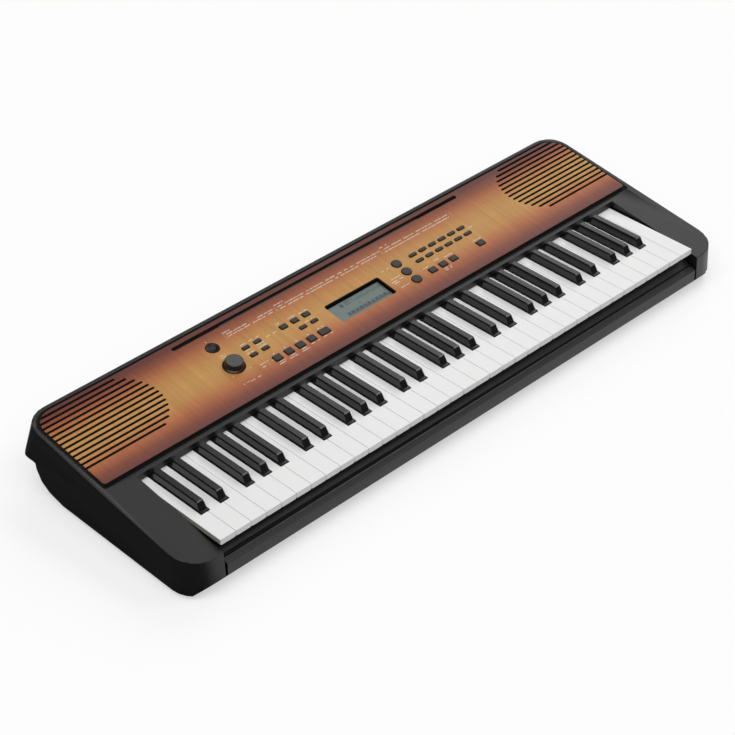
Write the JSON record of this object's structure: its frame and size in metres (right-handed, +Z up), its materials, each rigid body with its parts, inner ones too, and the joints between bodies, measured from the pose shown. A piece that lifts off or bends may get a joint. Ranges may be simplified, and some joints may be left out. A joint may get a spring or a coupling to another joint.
{
  "type": "arranger keyboard",
  "caption": "Portable arranger keyboard: full-size hinged keys under a sloping decorated control panel with buttons, knob, display and slotted speakers.",
  "frame": {"origin": "centre of the instrument's outline, on the surface that its feet stand on", "axes": "+X to the player's right along the keys, +Y away from the player, +Z up"},
  "size_m": [0.952, 0.3235, 0.1027],
  "materials": {
    "charcoal_case": "satin charcoal moulded plastic",
    "dark_plastic": "unpainted black plastic",
    "sunburst_panel": "sunburst print, gold in the middle to dark red-brown at the edges",
    "white_key": "satin white",
    "black_key": "satin black",
    "button_cap": "satin dark grey",
    "foot_rubber": "matt black",
    "display": "grey-green display behind a clear face",
    "circuit_board": "green lacquer",
    "speaker": "bare steel and dark paper cone"
  },
  "bodies": {
    "case": {"upper_case": "charcoal_case", "lower_case": "charcoal_case", "top_panel": "sunburst_panel", "display_module": "display", "speaker_left": "speaker", "speaker_right": "speaker", "key_bed": "dark_plastic", "contact_board": "circuit_board", "rubber_contacts": "foot_rubber", "panel_board": "circuit_board", "main_board": "circuit_board", "jack_board": "circuit_board", "dc_inlet": "dark_plastic", "foot_front_left": "foot_rubber", "foot_front_right": "foot_rubber", "foot_rear_left": "foot_rubber", "foot_rear_right": "foot_rubber"},
    "function_buttons": {"function_buttons": "button_cap"},
    "transport_buttons": {"transport_buttons": "button_cap"},
    "song_buttons": {"song_buttons": "button_cap"},
    "category_buttons": {"category_buttons": "button_cap"},
    "number_buttons": {"number_buttons": "button_cap"},
    "mode_buttons": {"mode_buttons": "button_cap"},
    "power_button": {"power_button": "button_cap"},
    "volume_knob": {"volume_knob": "button_cap"},
    "battery_cover": {"battery_cover": "charcoal_case"},
    "white_comb_2": {"white_comb_2": "white_key"},
    "middle_comb_2": {"middle_comb_2": "white_key"},
    "black_comb_2": {"black_comb_2": "black_key"},
    "key_c3": {"key_c3": "white_key"},
    "key_d3": {"key_d3": "white_key"},
    "key_e3": {"key_e3": "white_key"},
    "key_f3": {"key_f3": "white_key"},
    "key_g3": {"key_g3": "white_key"},
    "key_a3": {"key_a3": "white_key"},
    "key_b3": {"key_b3": "white_key"},
    "key_c_sharp3": {"key_c_sharp3": "black_key"},
    "key_d_sharp3": {"key_d_sharp3": "black_key"},
    "key_f_sharp3": {"key_f_sharp3": "black_key"},
    "key_g_sharp3": {"key_g_sharp3": "black_key"},
    "key_a_sharp3": {"key_a_sharp3": "black_key"},
    "key_c4": {"key_c4": "white_key"},
    "key_d4": {"key_d4": "white_key"},
    "key_e4": {"key_e4": "white_key"},
    "key_f4": {"key_f4": "white_key"},
    "key_g4": {"key_g4": "white_key"},
    "key_a4": {"key_a4": "white_key"},
    "key_b4": {"key_b4": "white_key"},
    "key_c_sharp4": {"key_c_sharp4": "black_key"},
    "key_d_sharp4": {"key_d_sharp4": "black_key"},
    "key_f_sharp4": {"key_f_sharp4": "black_key"},
    "key_g_sharp4": {"key_g_sharp4": "black_key"},
    "key_a_sharp4": {"key_a_sharp4": "black_key"},
    "white_comb_5": {"white_comb_5": "white_key"},
    "middle_comb_5": {"middle_comb_5": "white_key"},
    "black_comb_5": {"black_comb_5": "black_key"},
    "white_comb_6": {"white_comb_6": "white_key"},
    "middle_comb_6": {"middle_comb_6": "white_key"},
    "black_comb_6": {"black_comb_6": "black_key"},
    "key_c7": {"key_c7": "white_key"}
  },
  "joints": [
    {"name": "function_buttons_press", "type": "slide", "parent": "case", "child": "function_buttons", "axis": [0, 0.1461, -0.9893], "range_m": [0, 0.0015], "stiffness_N_per_m": 300, "springref_m": -0.002},
    {"name": "transport_buttons_press", "type": "slide", "parent": "case", "child": "transport_buttons", "axis": [0, 0.1461, -0.9893], "range_m": [0, 0.0015], "stiffness_N_per_m": 300, "springref_m": -0.002},
    {"name": "song_buttons_press", "type": "slide", "parent": "case", "child": "song_buttons", "axis": [0, 0.1461, -0.9893], "range_m": [0, 0.0015], "stiffness_N_per_m": 300, "springref_m": -0.002},
    {"name": "category_buttons_press", "type": "slide", "parent": "case", "child": "category_buttons", "axis": [0, 0.1461, -0.9893], "range_m": [0, 0.0015], "stiffness_N_per_m": 300, "springref_m": -0.002},
    {"name": "number_buttons_press", "type": "slide", "parent": "case", "child": "number_buttons", "axis": [0, 0.1461, -0.9893], "range_m": [0, 0.0015], "stiffness_N_per_m": 300, "springref_m": -0.002},
    {"name": "mode_buttons_press", "type": "slide", "parent": "case", "child": "mode_buttons", "axis": [0, 0.1461, -0.9893], "range_m": [0, 0.0015], "stiffness_N_per_m": 300, "springref_m": -0.002},
    {"name": "power_button_press", "type": "slide", "parent": "case", "child": "power_button", "axis": [0, 0.1461, -0.9893], "range_m": [0, 0.0015], "stiffness_N_per_m": 300, "springref_m": -0.002},
    {"name": "volume_turn", "type": "hinge", "parent": "case", "child": "volume_knob", "pos_m": [-0.2131, 0.06208, 0.09602], "axis": [0, -0.1461, 0.9893], "range_deg": [-150, 150]},
    {"name": "battery_cover_lift", "type": "slide", "parent": "case", "child": "battery_cover", "axis": [0, 0, -1], "range_m": [0, 0.03]},
    {"name": "white_comb_2_hinge", "type": "hinge", "parent": "case", "child": "white_comb_2", "pos_m": [-0.34075, 0.03306, 0.06125], "axis": [1, 0, 0], "range_deg": [0, 3], "stiffness_Nm_per_rad": 2, "springref_deg": -11.46},
    {"name": "middle_comb_2_hinge", "type": "hinge", "parent": "case", "child": "middle_comb_2", "pos_m": [-0.33999, 0.03306, 0.06425], "axis": [1, 0, 0], "range_deg": [0, 3], "stiffness_Nm_per_rad": 1.5, "springref_deg": -11.46},
    {"name": "black_comb_2_hinge", "type": "hinge", "parent": "case", "child": "black_comb_2", "pos_m": [-0.34075, 0.03306, 0.06725], "axis": [1, 0, 0], "range_deg": [0, 3], "stiffness_Nm_per_rad": 2.5, "springref_deg": -11.46},
    {"name": "key_c3_hinge", "type": "hinge", "parent": "case", "child": "key_c3", "pos_m": [-0.25164, 0.03306, 0.06125], "axis": [1, 0, 0], "range_deg": [0, 3], "stiffness_Nm_per_rad": 0.5, "springref_deg": -11.46},
    {"name": "key_d3_hinge", "type": "hinge", "parent": "case", "child": "key_d3", "pos_m": [-0.22337, 0.03306, 0.06125], "axis": [1, 0, 0], "range_deg": [0, 3], "stiffness_Nm_per_rad": 0.5, "springref_deg": -11.46},
    {"name": "key_e3_hinge", "type": "hinge", "parent": "case", "child": "key_e3", "pos_m": [-0.19497, 0.03306, 0.06125], "axis": [1, 0, 0], "range_deg": [0, 3], "stiffness_Nm_per_rad": 0.5, "springref_deg": -11.46},
    {"name": "key_f3_hinge", "type": "hinge", "parent": "case", "child": "key_f3", "pos_m": [-0.18114, 0.03306, 0.06125], "axis": [1, 0, 0], "range_deg": [0, 3], "stiffness_Nm_per_rad": 0.5, "springref_deg": -11.46},
    {"name": "key_g3_hinge", "type": "hinge", "parent": "case", "child": "key_g3", "pos_m": [-0.15439, 0.03306, 0.06125], "axis": [1, 0, 0], "range_deg": [0, 3], "stiffness_Nm_per_rad": 0.5, "springref_deg": -11.46},
    {"name": "key_a3_hinge", "type": "hinge", "parent": "case", "child": "key_a3", "pos_m": [-0.1276, 0.03306, 0.06125], "axis": [1, 0, 0], "range_deg": [0, 3], "stiffness_Nm_per_rad": 0.5, "springref_deg": -11.46},
    {"name": "key_b3_hinge", "type": "hinge", "parent": "case", "child": "key_b3", "pos_m": [-0.10085, 0.03306, 0.06125], "axis": [1, 0, 0], "range_deg": [0, 3], "stiffness_Nm_per_rad": 0.5, "springref_deg": -11.46},
    {"name": "key_c_sharp3_hinge", "type": "hinge", "parent": "case", "child": "key_c_sharp3", "pos_m": [-0.23829, 0.03306, 0.06125], "axis": [1, 0, 0], "range_deg": [0, 3], "stiffness_Nm_per_rad": 0.5, "springref_deg": -11.46},
    {"name": "key_d_sharp3_hinge", "type": "hinge", "parent": "case", "child": "key_d_sharp3", "pos_m": [-0.20844, 0.03306, 0.06125], "axis": [1, 0, 0], "range_deg": [0, 3], "stiffness_Nm_per_rad": 0.5, "springref_deg": -11.46},
    {"name": "key_f_sharp3_hinge", "type": "hinge", "parent": "case", "child": "key_f_sharp3", "pos_m": [-0.16779, 0.03306, 0.06125], "axis": [1, 0, 0], "range_deg": [0, 3], "stiffness_Nm_per_rad": 0.5, "springref_deg": -11.46},
    {"name": "key_g_sharp3_hinge", "type": "hinge", "parent": "case", "child": "key_g_sharp3", "pos_m": [-0.141, 0.03306, 0.06125], "axis": [1, 0, 0], "range_deg": [0, 3], "stiffness_Nm_per_rad": 0.5, "springref_deg": -11.46},
    {"name": "key_a_sharp3_hinge", "type": "hinge", "parent": "case", "child": "key_a_sharp3", "pos_m": [-0.11421, 0.03306, 0.06125], "axis": [1, 0, 0], "range_deg": [0, 3], "stiffness_Nm_per_rad": 0.5, "springref_deg": -11.46},
    {"name": "key_c4_hinge", "type": "hinge", "parent": "case", "child": "key_c4", "pos_m": [-0.08714, 0.03306, 0.06125], "axis": [1, 0, 0], "range_deg": [0, 3], "stiffness_Nm_per_rad": 0.5, "springref_deg": -11.46},
    {"name": "key_d4_hinge", "type": "hinge", "parent": "case", "child": "key_d4", "pos_m": [-0.05887, 0.03306, 0.06125], "axis": [1, 0, 0], "range_deg": [0, 3], "stiffness_Nm_per_rad": 0.5, "springref_deg": -11.46},
    {"name": "key_e4_hinge", "type": "hinge", "parent": "case", "child": "key_e4", "pos_m": [-0.03047, 0.03306, 0.06125], "axis": [1, 0, 0], "range_deg": [0, 3], "stiffness_Nm_per_rad": 0.5, "springref_deg": -11.46},
    {"name": "key_f4_hinge", "type": "hinge", "parent": "case", "child": "key_f4", "pos_m": [-0.01664, 0.03306, 0.06125], "axis": [1, 0, 0], "range_deg": [0, 3], "stiffness_Nm_per_rad": 0.5, "springref_deg": -11.46},
    {"name": "key_g4_hinge", "type": "hinge", "parent": "case", "child": "key_g4", "pos_m": [0.01011, 0.03306, 0.06125], "axis": [1, 0, 0], "range_deg": [0, 3], "stiffness_Nm_per_rad": 0.5, "springref_deg": -11.46},
    {"name": "key_a4_hinge", "type": "hinge", "parent": "case", "child": "key_a4", "pos_m": [0.0369, 0.03306, 0.06125], "axis": [1, 0, 0], "range_deg": [0, 3], "stiffness_Nm_per_rad": 0.5, "springref_deg": -11.46},
    {"name": "key_b4_hinge", "type": "hinge", "parent": "case", "child": "key_b4", "pos_m": [0.06365, 0.03306, 0.06125], "axis": [1, 0, 0], "range_deg": [0, 3], "stiffness_Nm_per_rad": 0.5, "springref_deg": -11.46},
    {"name": "key_c_sharp4_hinge", "type": "hinge", "parent": "case", "child": "key_c_sharp4", "pos_m": [-0.07379, 0.03306, 0.06125], "axis": [1, 0, 0], "range_deg": [0, 3], "stiffness_Nm_per_rad": 0.5, "springref_deg": -11.46},
    {"name": "key_d_sharp4_hinge", "type": "hinge", "parent": "case", "child": "key_d_sharp4", "pos_m": [-0.04394, 0.03306, 0.06125], "axis": [1, 0, 0], "range_deg": [0, 3], "stiffness_Nm_per_rad": 0.5, "springref_deg": -11.46},
    {"name": "key_f_sharp4_hinge", "type": "hinge", "parent": "case", "child": "key_f_sharp4", "pos_m": [-0.00329, 0.03306, 0.06125], "axis": [1, 0, 0], "range_deg": [0, 3], "stiffness_Nm_per_rad": 0.5, "springref_deg": -11.46},
    {"name": "key_g_sharp4_hinge", "type": "hinge", "parent": "case", "child": "key_g_sharp4", "pos_m": [0.0235, 0.03306, 0.06125], "axis": [1, 0, 0], "range_deg": [0, 3], "stiffness_Nm_per_rad": 0.5, "springref_deg": -11.46},
    {"name": "key_a_sharp4_hinge", "type": "hinge", "parent": "case", "child": "key_a_sharp4", "pos_m": [0.05029, 0.03306, 0.06125], "axis": [1, 0, 0], "range_deg": [0, 3], "stiffness_Nm_per_rad": 0.5, "springref_deg": -11.46},
    {"name": "white_comb_5_hinge", "type": "hinge", "parent": "case", "child": "white_comb_5", "pos_m": [0.15275, 0.03306, 0.06125], "axis": [1, 0, 0], "range_deg": [0, 3], "stiffness_Nm_per_rad": 2, "springref_deg": -11.46},
    {"name": "middle_comb_5_hinge", "type": "hinge", "parent": "case", "child": "middle_comb_5", "pos_m": [0.15351, 0.03306, 0.06425], "axis": [1, 0, 0], "range_deg": [0, 3], "stiffness_Nm_per_rad": 1.5, "springref_deg": -11.46},
    {"name": "black_comb_5_hinge", "type": "hinge", "parent": "case", "child": "black_comb_5", "pos_m": [0.15275, 0.03306, 0.06725], "axis": [1, 0, 0], "range_deg": [0, 3], "stiffness_Nm_per_rad": 2.5, "springref_deg": -11.46},
    {"name": "white_comb_6_hinge", "type": "hinge", "parent": "case", "child": "white_comb_6", "pos_m": [0.31725, 0.03306, 0.06125], "axis": [1, 0, 0], "range_deg": [0, 3], "stiffness_Nm_per_rad": 2, "springref_deg": -11.46},
    {"name": "middle_comb_6_hinge", "type": "hinge", "parent": "case", "child": "middle_comb_6", "pos_m": [0.31801, 0.03306, 0.06425], "axis": [1, 0, 0], "range_deg": [0, 3], "stiffness_Nm_per_rad": 1.5, "springref_deg": -11.46},
    {"name": "black_comb_6_hinge", "type": "hinge", "parent": "case", "child": "black_comb_6", "pos_m": [0.31725, 0.03306, 0.06725], "axis": [1, 0, 0], "range_deg": [0, 3], "stiffness_Nm_per_rad": 2.5, "springref_deg": -11.46},
    {"name": "key_c7_hinge", "type": "hinge", "parent": "case", "child": "key_c7", "pos_m": [0.41125, 0.03306, 0.06125], "axis": [1, 0, 0], "range_deg": [0, 3], "stiffness_Nm_per_rad": 0.5, "springref_deg": -11.46}
  ]
}
